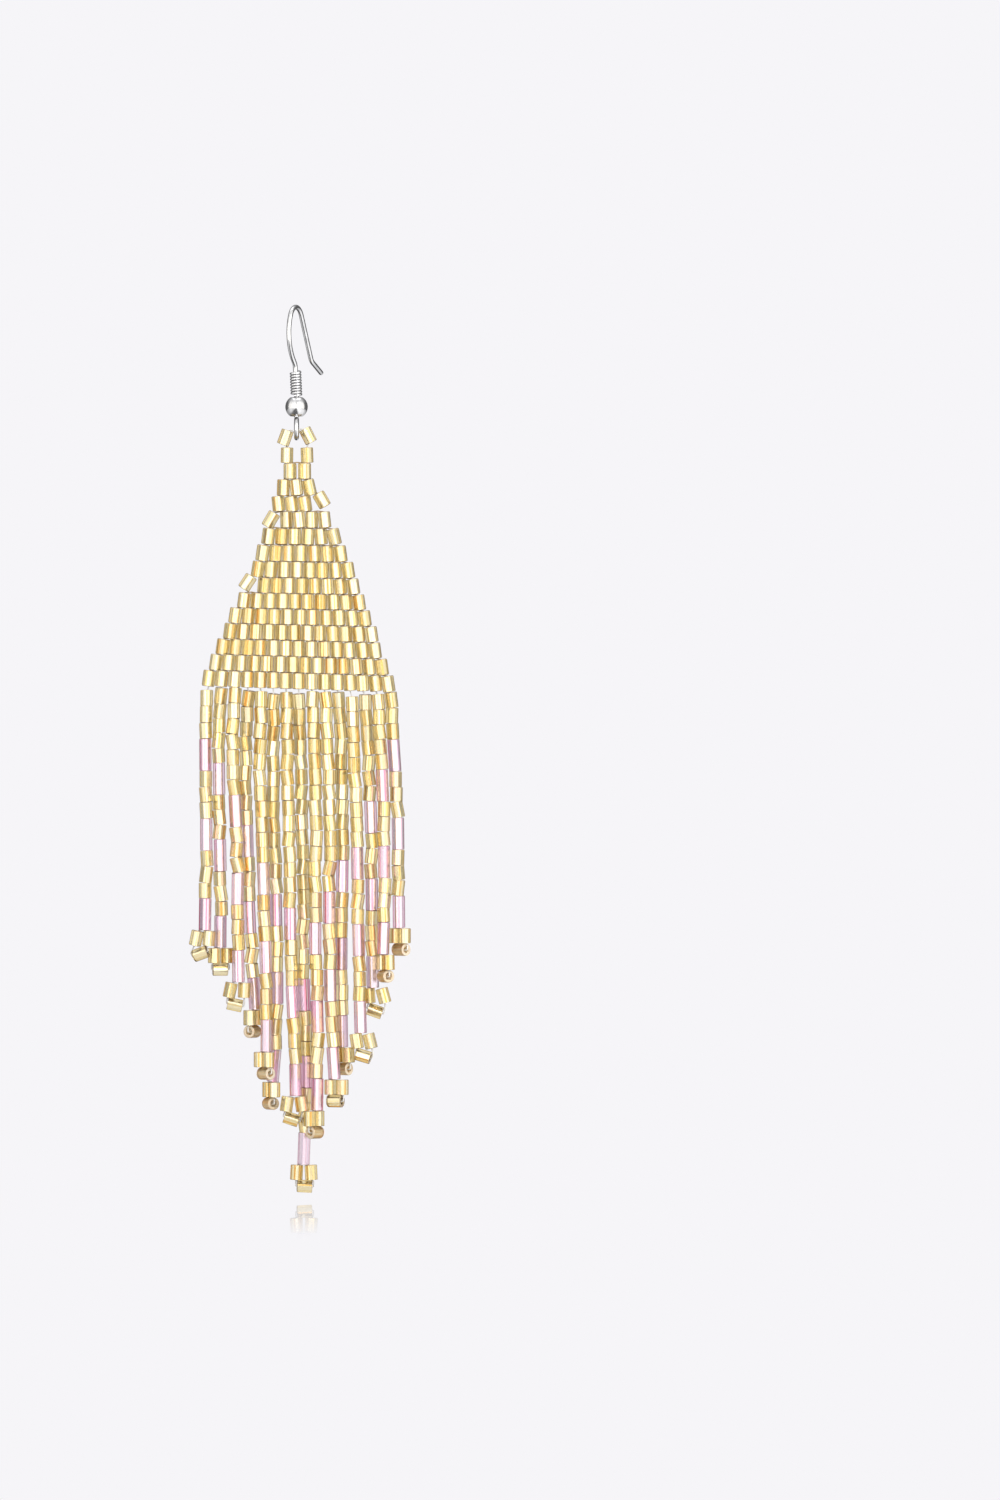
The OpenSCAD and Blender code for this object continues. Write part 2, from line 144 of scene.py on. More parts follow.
# Further points of the shank, by their distance below the end of the path
SHANK_STEPS = (0.6, 1.5, 2.4)
BALL_TOP = -11.86
BALL_D = 3.04
BALL_H = 2.56
BALL_HOLE_R = 0.42
# Mouth of the ball's hole: how far outside the hole, how deep under the flat
BALL_MOUTH = [(0, 0.1), (0.04, 0.01)]
BALL_LIP = 0.05
BALL_STEPS = 22
BALL_SIDES = 48
EYE_R = 1.28
EYE_GAP = 0.04
EYE_SINK = 0.1
EYE_STEPS = 64
EYE_TOP = BALL_TOP - BALL_H - EYE_GAP
EYE_Z = EYE_TOP - EYE_R - WIRE_R
COIL_R = 0.62
COIL_WIRE_R = 0.18
COIL_TURNS = 8.5
COIL_PITCH = 0.375
COIL_GAP = 0.03
COIL_STEPS = 28
COIL_SIDES = 12

# Panel rows: bead count, middle of the first and last bead, height, fall to the right in degrees
ROWS = [
    (2, -0.81, 1.15, -21.67, 0),
    (3, -1.71, 1.77, -24.1, 0),
    (4, -2.36, 3.0, -26.25, 0.2),
    (5, -3.0, 3.83, -28.3, 0.4),
    (6, -3.73, 5.13, -30.65, 0.5),
    (7, -4.51, 5.98, -32.95, 0.7),
    (8, -5.13, 7.02, -35.15, 0.8),
    (9, -6.05, 7.71, -37.3, 1.0),
    (10, -7.01, 8.49, -39.4, 1.1),
    (11, -8.17, 9.26, -41.5, 1.3),
    (12, -8.9, 10.17, -43.65, 1.4),
    (13, -9.92, 10.64, -45.75, 1.5),
    (14, -10.8, 11.58, -47.95, 1.7),
    (15, -11.75, 12.45, -50.15, 1.8),
]
# Tipped end beads: row, bead, sideways, height, lean
TIPPED = [(2, 3, 3.46, -25.7, -30), (3, 0, -3.4, -28.4, 30), (7, 0, -6.55, -36.85, 33)]
# Slack beads of the upper rows: row, bead, lean
SLACK = [
    (1, 0, 2),
    (1, 1, -6),
    (1, 2, -13),
    (2, 0, -6),
    (2, 1, -7),
    (2, 2, -8),
    (3, 1, -2),
    (3, 2, -5),
    (3, 4, -6),
    (4, 3, 3),
    (4, 4, -5),
    (4, 5, -13),
]
# Loop beads: sideways, height, lean, length
LOOP_BEADS = [
    (-1.215, -19.67, 1, 2.08),
    (-1.45, -17.29, 20, 2.07),
    (1.6, -17.03, -27, 2.08),
    (1.485, -19.67, -2, 2.08),
]
# Strands: start, gold pitch, leading gold beads, front halfway, front at the end, sideways places
STRANDS = [
    (0.3, 2.15, 3, 0.3, 0.5, (-12.0, -12.25, -12.2, -12.1, -12.1, -12.3)),
    (0.0, 2.0, 5, -0.3, -0.5, (-10.1, -10.5, -10.4, -10.35, -10.2, -10.2, -10.25)),
    (0.0, 2.05, 7, 0.7, 0.7, (-8.2, -8.6, -8.4, -8.1, -7.8, -7.9, -7.8, -7.7)),
    (0.4, 2.0, 9, -0.7, -0.7, (-6.4, -6.8, -6.9, -6.65, -6.5, -6.35, -6.0, -5.5)),
    (0.5, 2.09, 11, 0.5, 0.9, (-4.7, -4.9, -4.9, -4.7, -4.4, -4.2, -4.1, -3.9, -3.95, -3.85)),
    (0.8, 2.07, 13, -0.6, -0.9, (-3.0, -3.1, -3.1, -3.0, -2.8, -2.7, -2.55, -2.55, -2.8, -3.3)),
    (0.6, 2.07, 14, 0.4, 0.9, (-1.3, -1.2, -1.2, -1.0, -0.85, -0.8, -0.75, -0.45, -0.1, 0.0)),
    (0.8, 2.02, 19, -0.6, -0.9, (0.4, 0.5, 0.65, 0.85, 1, 0.95, 0.95, 1.15, 1.45, 1.45, 1.1, 0.9)),
    (0.5, 2.07, 15, 0.5, 0.8, (2.2, 2.45, 2.65, 2.65, 2.65, 2.6, 2.6, 2.85, 3.0, 2.85)),
    (0.6, 2.06, 13, 0.4, 0.8, (3.95, 4.2, 4.5, 4.6, 4.5, 4.5, 4.55, 4.65, 4.95, 5.35)),
    (0.6, 2.05, 11, -0.5, -0.9, (5.7, 6.05, 6.25, 6.3, 6.25, 6.15, 6.1, 6.1, 6.2)),
    (1.2, 2.02, 10, 0.3, 0.7, (7.55, 7.8, 8.05, 8.2, 8.3, 8.4, 8.55, 8.65, 8.8)),
    (0.9, 2.04, 7, -0.5, -1.0, (9.3, 9.65, 9.95, 10.15, 10.2, 10.25, 10.3, 10.4)),
    (0.9, 2.0, 5, 0.4, 0.9, (11.05, 11.4, 11.65, 11.85, 11.9, 11.9, 11.7)),
    (0.6, 2.08, 3, -0.3, -0.5, (12.8, 13.1, 13.5, 13.8, 13.8, 13.9)),
]
# End triangles: shift, spread, yaw, lean left, lean right, across x, across depth, across lean
PICOTS = [
    (-0.27, 0.9, -15, 12, 5, -0.56, 3.2, -20),
    (0.05, 0.87, 8, 0, 0, 0.0, 3.0, 0),
    (-0.18, 0.95, 0, 12, 2, -0.5, 3.1, 12),
    (-0.35, 0.87, 62, 0, 0, -0.4, 3.0, 0),
    (-0.35, 0.87, -50, 0, 0, -0.1, 3.0, 0),
    (-0.2, 0.87, -64, 0, 0, -0.3, 3.0, 0),
    (-0.23, 0.98, 0, 8, -8, -0.6, 3.15, 18),
    (0.06, 0.98, 5, 3, -3, 0.15, 3.0, 3),
    (-0.4, 0.87, 50, 0, 0, -0.3, 3.0, 0),
    (0.25, 0.87, -25, 0, 0, 0.1, 3.0, 0),
    (0.2, 0.87, -40, -4, -4, 0.2, 3.0, 0),
    (0.35, 0.92, -12, -9, -14, 0.4, 3.15, 16),
    (0.45, 0.98, 0, -4, -15, 0.3, 3.2, 20),
    (0.34, 0.87, -62, 0, -3, 0.34, 3.0, 0),
    (0.13, 0.87, -45, 0, 0, 0.26, 3.0, 0),
]


def sin(a):
    return math.sin(math.radians(a))


def cos(a):
    return math.cos(math.radians(a))


# Materials

GLASS_IOR = 1.65
# Strength of the tint in the depth of the glass, per metre
GLASS_DENSITY = 1000.0
GLASS_ROUGHNESS = 0.03
RIM_ROUGHNESS = 0.2
RIM_CLEAR = 0.35
# Painted shade that darkens the rim to brown where it is turned away
RIM_EDGE_SHADE = [(0.4, (1, 1, 1)), (0.62, (0.3, 0.18, 0.08))]


def put(owner, node, *in_order, **named):
    """Fills sockets of a node of a material or world, in order or by name. Each gets a constant, or
    a link from a socket or from the first output of a node."""
    pairs = list(zip(node.inputs, in_order))
    pairs += [(node.inputs[key.replace("_", " ")], value) for key, value in named.items()]
    for socket, value in pairs:
        if isinstance(value, bpy.types.Node):
            value = value.outputs[0]
        if isinstance(value, bpy.types.NodeSocket):
            owner.node_tree.links.new(value, socket)
        else:
            socket.default_value = value
    return node


def add(owner, kind, *in_order, **named):
    """A new node. Named values are properties of it, or else sockets."""
    node = owner.node_tree.nodes.new(kind)
    for key in [key for key in named if hasattr(node, key)]:
        setattr(node, key, named.pop(key))
    return put(owner, node, *in_order, **named)


def empty_material(name):
    mat = bpy.data.materials.new(name)
    mat.use_nodes = True
    mat.node_tree.nodes.clear()
    return mat


def principled(mat, **named):
    """Gives a material its shader and returns its output node."""
    return add(mat, "ShaderNodeOutputMaterial", add(mat, "ShaderNodeBsdfPrincipled", **named))


def ramp(owner, fac, stops):
    node = add(owner, "ShaderNodeValToRGB", fac)
    elements = node.color_ramp.elements
    elements.remove(elements[1])
    elements[0].position = stops[0][0]
    elements[0].color = (*stops[0][1], 1)
    for position, colour in stops[1:]:
        elements.new(position).color = (*colour, 1)
    return node


def facing(owner):
    """How far a surface is turned away, from 0 to 1."""
    return add(owner, "ShaderNodeLayerWeight", Blend=0.5).outputs["Facing"]


def noise(mat, where, stretch, roughness):
    """Noise that is the finer along an axis, the larger its stretch."""
    spread = add(mat, "ShaderNodeMapping", where, Scale=stretch)
    kind = "ShaderNodeTexNoise"
    return add(mat, kind, Vector=spread, Scale=1.0, Detail=3.0, Roughness=roughness)


def bump(mat, height, strength, depth):
    """Bumps of a depth in millimetres."""
    return add(mat, "ShaderNodeBump", Strength=strength, Distance=depth * MM, Height=height)


def glass_material(name, tints, edge, gleam, absorbed, roughness, clear):
    """Tinted glass whose tint differs a little from bead to bead and deepens with its depth.
    Towards its edges, where it is seen at a low angle, painted shade darkens its colour and draws
    its outline."""
    mat = empty_material(name)
    tone = add(mat, "ShaderNodeAttribute", attribute_name="bead_tone").outputs["Fac"]
    tint = ramp(mat, tone, list(zip((0.0, 0.5, 1.0), tints)))
    # Painted shade that darkens the glass towards its edges
    edge_shade = ramp(mat, facing(mat), edge)
    out = principled(
        mat,
        Base_Color=add(mat, "ShaderNodeMixRGB", 1.0, tint, edge_shade, blend_type="MULTIPLY"),
        Specular_Tint=(*gleam, 1),
        Transmission_Weight=clear,
        IOR=GLASS_IOR,
        Roughness=roughness,
    )
    depth = add(mat, "ShaderNodeVolumeAbsorption", Color=(*absorbed, 1), Density=GLASS_DENSITY)
    put(mat, out, Volume=depth)
    return mat


def lining_material(name, stops, roughness, metallic):
    """The lining of the hole: metallic, in uneven streaks along the bead."""
    mat = empty_material(name)
    uv = add(mat, "ShaderNodeUVMap", uv_map="UVMap")
    streaks = noise(mat, uv, stretch=(8.0, 0.4, 1.0), roughness=0.62)
    principled(
        mat,
        Base_Color=ramp(mat, streaks, stops),
        Normal=bump(mat, streaks, strength=0.5, depth=0.03),
        Metallic=metallic,
        Roughness=roughness,
    )
    return mat


def bead_materials(
    kind,
    glass,
    rim,
    lining,
    edge,
    gleam,
    absorbed,
    rim_edge_shade=RIM_EDGE_SHADE,
    lining_roughness=0.24,
    lining_metallic=1.0,
):
    """Glass, rim and lining of one kind of bead. Glass and rim are the tints of a dark, a middling
    and a light bead, the rim's darker tints being painted shade at the bead ends, lining those of
    its streaks, and edge and rim_edge_shade the painted shade by how far a surface is turned away."""
    return [
        glass_material(kind + "_glass", glass, edge, gleam, absorbed, GLASS_ROUGHNESS, 1.0),
        glass_material(kind + "_rim", rim, rim_edge_shade, gleam, absorbed, RIM_ROUGHNESS, RIM_CLEAR),
        lining_material(kind + "_lining", lining, lining_roughness, lining_metallic),
    ]


GOLD_GLEAM = (1.0, 0.84, 0.5)
GOLD = bead_materials(
    "gold",
    glass=((0.96, 0.9, 0.74), (0.98, 0.94, 0.86), (0.99, 0.97, 0.93)),
    # Rim tints darker than the glass: painted shade at the bead ends
    rim=((0.86, 0.7, 0.42), (0.92, 0.8, 0.54), (0.96, 0.88, 0.68)),
    lining=[
        (0.35, (0.84, 0.44, 0.12)),
        (0.42, (0.94, 0.77, 0.43)),
        (0.48, (0.97, 0.92, 0.78)),
        (0.57, (0.97, 0.96, 0.91)),
        (0.66, (0.93, 0.85, 0.62)),
    ],
    # Painted shade that darkens the glass to amber and near black where it is turned away
    edge=[
        (0.3, (1, 1, 1)),
        (0.56, (0.97, 0.84, 0.56)),
        (0.66, (0.72, 0.45, 0.13)),
        (0.76, (0.08, 0.04, 0.005)),
    ],
    gleam=GOLD_GLEAM,
    absorbed=(0.99, 0.925, 0.64),
)
# The bead across a strand's end, where it shows its hole, takes a paler copy of the gold all round:
# painted light on a bead seen end-on
LIT_END_ON_EDGE_SHADE = [(0.35, (1, 1, 1)), (0.7, (0.99, 0.8, 0.56)), (0.92, (0.82, 0.5, 0.28))]
LIT_END_ON_GOLD = bead_materials(
    "lit_end_on_gold",
    glass=((1.0, 0.93, 0.78), (1.0, 0.95, 0.84), (1.0, 0.97, 0.9)),
    rim=((1.0, 0.88, 0.66), (1.0, 0.91, 0.72), (1.0, 0.94, 0.8)),
    lining=[(0.4, (0.98, 0.74, 0.44)), (0.5, (1.0, 0.87, 0.62)), (0.6, (1.0, 0.93, 0.76))],
    edge=LIT_END_ON_EDGE_SHADE,
    gleam=GOLD_GLEAM,
    absorbed=(1.0, 0.96, 0.84),
    rim_edge_shade=LIT_END_ON_EDGE_SHADE,
    lining_roughness=0.45,
    lining_metallic=0.5,
)
PINK = bead_materials(
    "pink",
    glass=((0.94, 0.8, 0.86), (0.965, 0.88, 0.92), (0.98, 0.94, 0.96)),
    # Rim tints darker than the glass: painted shade at the bead ends
    rim=((0.7, 0.3, 0.42), (0.8, 0.44, 0.55), (0.88, 0.6, 0.7)),
    lining=[
        (0.35, (0.84, 0.3, 0.46)),
        (0.41, (0.94, 0.66, 0.78)),
        (0.48, (0.97, 0.88, 0.94)),
        (0.56, (0.98, 0.96, 0.98)),
        (0.62, (0.8, 0.68, 0.82)),
    ],
    # Painted shade that darkens the glass to deep pink and near black where it is turned away
    edge=[
        (0.15, (1, 1, 1)),
        (0.5, (0.95, 0.76, 0.81)),
        (0.65, (0.8, 0.45, 0.53)),
        (0.82, (0.34, 0.08, 0.13)),
    ],
    gleam=(1.0, 0.8, 0.86),
    absorbed=(0.985, 0.94, 0.955),
)


def metal_material():
    """Silvered metal, worn in upright streaks, with painted shade that darkens it where it is
    turned away.
    """
    mat = empty_material("silvered_metal")
    where = add(mat, "ShaderNodeTexCoord").outputs["Object"]
    wear = noise(mat, where, stretch=(2600, 2600, 500), roughness=0.5)
    bright = ramp(mat, wear, [(0.35, (0.68, 0.68, 0.69)), (0.65, (0.9, 0.9, 0.91))])
    # Painted shade: the colour darkens to grey towards the edges
    metal_edge_shade = ramp(mat, facing(mat), [(0.2, (0, 0, 0)), (0.56, (1, 1, 1))])
    principled(
        mat,
        Base_Color=add(mat, "ShaderNodeMixRGB", metal_edge_shade, bright, (0.34, 0.34, 0.35, 1)),
        Roughness=add(mat, "ShaderNodeMapRange", wear, To_Min=0.1, To_Max=0.24),
        Normal=bump(mat, wear, strength=0.08, depth=0.02),
        Metallic=1.0,
    )
    return mat


def thread_material(name, dark, light):
    """Thread with a diagonal twist."""
    mat = empty_material(name)
    where = add(mat, "ShaderNodeTexCoord").outputs["Object"]
    wave = add(mat, "ShaderNodeTexWave", where, bands_direction="DIAGONAL")
    put(mat, wave, Scale=3500, Distortion=1.5)
    twist = wave.outputs["Fac"]
    principled(
        mat,
        Base_Color=ramp(mat, twist, [(0.0, dark), (1.0, light)]),
        Normal=bump(mat, twist, strength=0.4, depth=0.03),
        Roughness=0.6,
        Sheen_Weight=0.3,
    )
    return mat


METAL = metal_material()
THREAD = thread_material("sewing_thread", (0.78, 0.76, 0.72), (0.95, 0.94, 0.92))
# The thread between the rows gets a dark brown copy of the thread: painted shade
SHADED_BRIDGE_THREAD = thread_material("shaded_bridge_thread", (0.3, 0.19, 0.08), (0.5, 0.36, 0.18))


# Mesh building

X_WAY = np.array([1.0, 0.0, 0.0])
Y_WAY = np.array([0.0, 1.0, 0.0])
# Part of an axis along y from which it counts as lying along y
NEAR_Y = 0.9
# No wire or thread starts along this direction
ODD_WAY = [0.31, 0.94, 0.13]


class Batch:
    """Rings of vertices that become one joined mesh, in millimetres."""

    def __init__(self):
        self.verts, self.faces, self.slots, self.tones, self.uvs = [], [], [], [], []
        self.count = 0

    def grid(self, rings, closed, slots, tone=0.5, uv_shift=(0.0, 0.0)):
        """Joins rings of equal size into a tube; closed joins the last to the first."""
        rings = np.asarray(rings, float)
        n, k = rings.shape[:2]
        self.verts.append(rings.reshape(-1, 3))
        for i in range(n if closed else n - 1):
            a, b = self.count + i * k, self.count + (i + 1) % n * k
            for j in range(k):
                j2 = (j + 1) % k
                self.faces.append([a + j, a + j2, b + j2, b + j])
                u0, u1 = j / k + uv_shift[0], (j + 1) / k + uv_shift[0]
                v0, v1 = i / n + uv_shift[1], (i + 1) / n + uv_shift[1]
                self.uvs += [(u0, v0), (u1, v0), (u1, v1), (u0, v1)]
            self.slots += [slots[i]] * k
        self.tones += [tone] * (n * k)
        self.count += n * k

    def cap(self, first, k, flip, slot):
        """Closes the ring of k vertices that begins with the first."""
        order = range(k) if flip else range(k - 1, -1, -1)
        self.faces.append([first + j for j in order])
        self.slots.append(slot)
        self.uvs += [(0.5, 0.5)] * k

    def build(self, name, materials, sharp=35):
        """The finished object; edges that bend by more than sharp degrees stay sharp."""
        mesh = bpy.data.meshes.new(name)
        mesh.from_pydata((np.concatenate(self.verts) * MM).tolist(), [], self.faces)
        for m in materials:
            mesh.materials.append(m)
        mesh.polygons.foreach_set("material_index", self.slots)
        mesh.attributes.new("bead_tone", "FLOAT", "POINT").data.foreach_set("value", self.tones)
        layer = mesh.uv_layers.new(name="UVMap")
        layer.data.foreach_set("uv", np.asarray(self.uvs, float).ravel())
        mesh.polygons.foreach_set("use_smooth", [True] * len(mesh.polygons))
        mesh.set_sharp_from_angle(angle=math.radians(sharp))
        mesh.validate()
        return linked(name, mesh)


def linked(name, data):
    """An object of the scene with that data."""
    obj = bpy.data.objects.new(name, data)
    bpy.context.scene.collection.objects.link(obj)
    return obj


def circle(centre, first, second, radius, sides):
    """Points round a centre, from one unit vector towards the other."""
    angles = [2 * math.pi * j / sides for j in range(sides)]
    return [centre + radius * (math.cos(a) * first + math.sin(a) * second) for a in angles]


def frame_of(axis, roll):
    """Three unit vectors: two across the axis, turned by roll, and the axis."""
    w = axis / np.linalg.norm(axis)
    u = np.cross(Y_WAY if abs(w[1]) < NEAR_Y else X_WAY, w)
    u /= np.linalg.norm(u)
    v = np.cross(w, u)
    c, s = math.cos(roll), math.sin(roll)
    return c * u + s * v, c * v - s * u, w


def add_bead(batch, low, high, radius, edge=BEAD_EDGE, first_slot=0):
    """One drilled bead from low to high: round outside, a squarish lined hole. Its glass, rim and
    lining are three materials of the batch, from first_slot on."""
    low, high = np.asarray(low, float), np.asarray(high, float)
    length = np.linalg.norm(high - low)
    u, v, w = frame_of(high - low, rng.uniform(0, 2 * math.pi))
    r = radius * (1 - RADIUS_VARIES * rng.random())
    hole = HOLE_R * rng.uniform(*HOLE_VARIES)
    cut = [CUT_SLANT * rng.uniform(-1, 1) for _ in range(4)]
    edge *= rng.uniform(*EDGE_VARIES)
    little, much = ROUND_LITTLE * edge, ROUND_MUCH * edge
    # Radius (None for that of the hole), height, flare: up the outside and down the hole
    profile = [
        (r, edge, 0),
        (r, edge + EDGE_BAND, 0),
        (r, length - edge - EDGE_BAND, 0),
        (r, length - edge, 0),
        (r - little, length - much, 0),
        (r - much, length - little, 0),
        (r - edge, length, 0),
        (None, length, HOLE_MOUTH),
        (None, length - HOLE_MOUTH, 0),
        (None, HOLE_MOUTH, 0),
        (None, 0, HOLE_MOUTH),
        (r - edge, 0, 0),
        (r - much, little, 0),
        (r - little, much, 0),
    ]
    angles = [360 * j / SIDES for j in range(SIDES)]
    p = HOLE_SQUARENESS
    square = [
        hole * HOLE_NARROWING / (abs(cos(a)) ** p + abs(sin(a)) ** p) ** (1 / p) for a in angles
    ]
    rings = []
    for across, height, flare in profile:
        top = height > length / 2
        cut_x, cut_y = cut[:2] if top else cut[2:]
        ring = []
        for a, hole_r in zip(angles, square):
            rad = across if across is not None else hole_r + flare
            x, y = rad * cos(a), rad * sin(a)
            slope = abs(cut_x * x + cut_y * y)
            ring.append(low + x * u + y * v + (height - slope if top else height + slope) * w)
        rings.append(ring)
    slots = [first_slot + band for band in BEAD_BANDS]
    tone = rng.random()
    shift = (rng.uniform(0, STREAK_SHIFT), rng.uniform(0, STREAK_SHIFT))
    batch.grid(rings, True, slots, tone, shift)


def tube(batch, points, radii, sides, slot=0):
    """A round wire swept along points, without twist, closed by a face at each end."""
    points = np.asarray(points, float)
    n = len(points)
    steps = np.diff(points, axis=0)
    steps /= np.linalg.norm(steps, axis=1)[:, None]
    tangents = np.vstack([steps[:1], steps[:-1] + steps[1:], steps[-1:]])
    tangents /= np.linalg.norm(tangents, axis=1)[:, None]
    normal = np.cross(tangents[0], ODD_WAY)
    rings = []
    for p, t, r in zip(points, tangents, radii):
        normal = normal - np.dot(normal, t) * t
        normal /= np.linalg.norm(normal)
        rings.append(circle(p, normal, np.cross(t, normal), r, sides))
    first = batch.count
    batch.grid(rings, False, [slot] * n)
    batch.cap(first, sides, False, slot)
    batch.cap(first + (n - 1) * sides, sides, True, slot)


def place(obj, body, slot, *nodes):
    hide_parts(*nodes)
    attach(obj, body)


# Ear wire, coil and ball


def arc_path(steps):
    """Points of a bent wire in its own plane, distance out and height, and its last heading."""
    out, up, heading = 0.0, WIRE_R, 0.0
    points = [(out, up)]
    for length, radius, angle in steps:
        if length > 0:
            count = max(1, round(length / STRAIGHT_SEGMENT))
            for i in range(1, count + 1):
                way = length * i / count
                points.append((out + way * cos(heading), up - way * sin(heading)))
            out, up = points[-1]
        if angle:
            turns = max(3, round(abs(math.radians(angle)) * radius / BEND_SEGMENT))
            r = radius if angle > 0 else -radius
            for i in range(1, turns + 1):
                h = heading + angle * i / turns
                points.append(
                    (out - r * sin(heading) + r * sin(h), up - r * cos(heading) + r * cos(h))
                )
            out, up = points[-1]
            heading += angle
    return points, heading


front_path, _ = arc_path(FRONT_STEPS)
back_path, back_heading = arc_path(BACK_STEPS)
FOOT_X = -front_path[-1][0] * sin(HOOK_YAW)
FOOT_Y = -front_path[-1][0] * cos(HOOK_YAW)


def hook_point(out, up):
    return (out * sin(HOOK_YAW), out * cos(HOOK_YAW), up)


def hook_wire():
    batch = Batch()
    end_out, end_up = back_path[-1]
    points = [hook_point(out, up) for out, up in reversed(back_path)]
    radii = [WIRE_R] * len(points)
    for along, share in TIP:
        out, up = end_out + along * cos(back_heading), end_up - along * sin(back_heading)
        points.insert(0, hook_point(out, up))
        radii.insert(0, WIRE_R * share)
    points += [hook_point(-out, up) for out, up in front_path[1:]]
    points += [(FOOT_X, FOOT_Y, front_path[-1][1] - step) for step in SHANK_STEPS]
    points += [(FOOT_X, FOOT_Y, EYE_TOP - EYE_SINK)]
    radii += [WIRE_R] * (len(points) - len(radii))
    tube(batch, points, radii, WIRE_SIDES)
    rings = []
    for i in range(EYE_STEPS):
        a = 2 * math.pi * i / EYE_STEPS
        outward = np.array([0, math.sin(a), math.cos(a)])
        centre = np.array([FOOT_X, FOOT_Y, EYE_Z]) + EYE_R * outward
        rings.append(circle(centre, outward, X_WAY, WIRE_R, WIRE_SIDES))
    batch.grid(rings, True, [0] * EYE_STEPS)
    place(batch.build("hook_wire", [METAL], sharp=60), "hook", "metal", "ear_wire")


def coil_winding():
    batch = Batch()
    core, lean = arc_path(FRONT_STEPS[:CORE])
    lean -= 90
    foot_up = BALL_TOP + COIL_WIRE_R + COIL_R * sin(abs(lean)) + COIL_GAP
    foot_out = -core[-1][0] + (core[-1][1] - foot_up) * math.tan(math.radians(lean))
    height = COIL_TURNS * COIL_PITCH
    total = int(COIL_TURNS * COIL_STEPS)
    points = []
    for i in range(total + 1):
        a = math.pi + 2 * math.pi * i / COIL_STEPS
        x, y, z = COIL_R * math.cos(a), COIL_R * math.sin(a), height * i / total
        # The core leans in the hook's plane
        x, z = x * cos(lean) - z * sin(lean), x * sin(lean) + z * cos(lean)
        px, py, pz = hook_point(foot_out + x, foot_up + z)
        points.append((px - y * cos(HOOK_YAW), py + y * sin(HOOK_YAW), pz))
    tube(batch, points, [COIL_WIRE_R] * len(points), COIL_SIDES)
    place(batch.build("coil_winding", [METAL], sharp=60), "hook", "metal", "wire_coil")


def round_bead():
    batch = Batch()
    r, half = BALL_D / 2, BALL_H / 2
    edge_angle = math.degrees(math.asin(half / r))
    angles = [-edge_angle + 2 * edge_angle * i / BALL_STEPS for i in range(BALL_STEPS + 1)]
    mouth = [(BALL_HOLE_R + out, sink) for out, sink in BALL_MOUTH]
    mouth.append((r * cos(edge_angle) - BALL_LIP, 0))
    profile = [(across, sink - half) for across, sink in mouth]
    profile += [(r * cos(a), r * sin(a)) for a in angles]
    profile += [(across, half - sink) for across, sink in reversed(mouth)]
    centre = np.array([FOOT_X, FOOT_Y, BALL_TOP - half])
    rings = [
        circle(centre + np.array([0, 0, z]), X_WAY, Y_WAY, across, BALL_SIDES)
        for across, z in profile
    ]
    batch.grid(rings, True, [0] * len(profile))
    place(batch.build("round_bead", [METAL], sharp=50), "hook", "metal", "ball_bead")


# Beads


def at_drop(x, z, y=0.0):
    return np.array([x, y + FOOT_Y, z])


def standing(x, z, lean, length):
    """Ends of a bead whose middle is at x, z and whose top leans to the right."""
    half = np.array([sin(lean), 0, cos(lean)]) * length / 2
    return at_drop(x, z) - half, at_drop(x, z) + half


def loop_beads():
    batch = Batch()
    for x, z, lean, length in LOOP_BEADS:
        add_bead(batch, *standing(x, z, lean, length), LOOP_BEAD_R)
    place(batch.build("loop_bead_glass", GOLD), "drop", "gold_glass", "loop_beads")


def panel_places():
    """Row, ends and radius of every bead of the panel. Each row reaches halfway to its neighbours,
    and the beads near a row's ends lean along the edge of the panel."""
    special = {(r, i): (x, z, lean) for r, i, x, z, lean in TIPPED}
    slack = {(r, i): lean for r, i, lean in SLACK}
    heights = [row[3] for row in ROWS]
    tops = [PANEL_TOP] + [(a + b) / 2 for a, b in zip(heights, heights[1:])]
    lows = tops[1:] + [heights[-1] - PANEL_END_L / 2]
    places = []
    for r, (count, first, last, _, fall) in enumerate(ROWS):
        pitch = (last - first) / (count - 1)
        radius = min(PANEL_BEAD_R, pitch / 2 - PANEL_SIDE_GAP)
        length = min(tops[r] - lows[r] - PANEL_GAP, PANEL_END_L)
        for i in range(count):
            x = first + i * pitch
            z = (tops[r] + lows[r]) / 2 - x * math.tan(math.radians(fall))
            z += rng.uniform(-PANEL_UNEVEN, PANEL_UNEVEN)
            side = 2 * i / (count - 1) - 1
            lean = -PANEL_FAN * side * abs(side) * min(1, r / FAN_ROWS)
            lean += rng.uniform(-PANEL_LEAN, PANEL_LEAN)
            lean = slack.get((r, i), lean)
            x, z, lean = special.get((r, i), (x, z, lean))
            places.append((r, *standing(x, z, lean, length), radius))
    return places


def bridge_end(low, high, rise):
    """Where a thread dips into the hole of a bead, and where it bends over the rim."""
    down = (low - high) / np.linalg.norm(low - high) * BRIDGE_DIP
    return high + down, high + BEND_DIP * down + BEND_RISE * rise


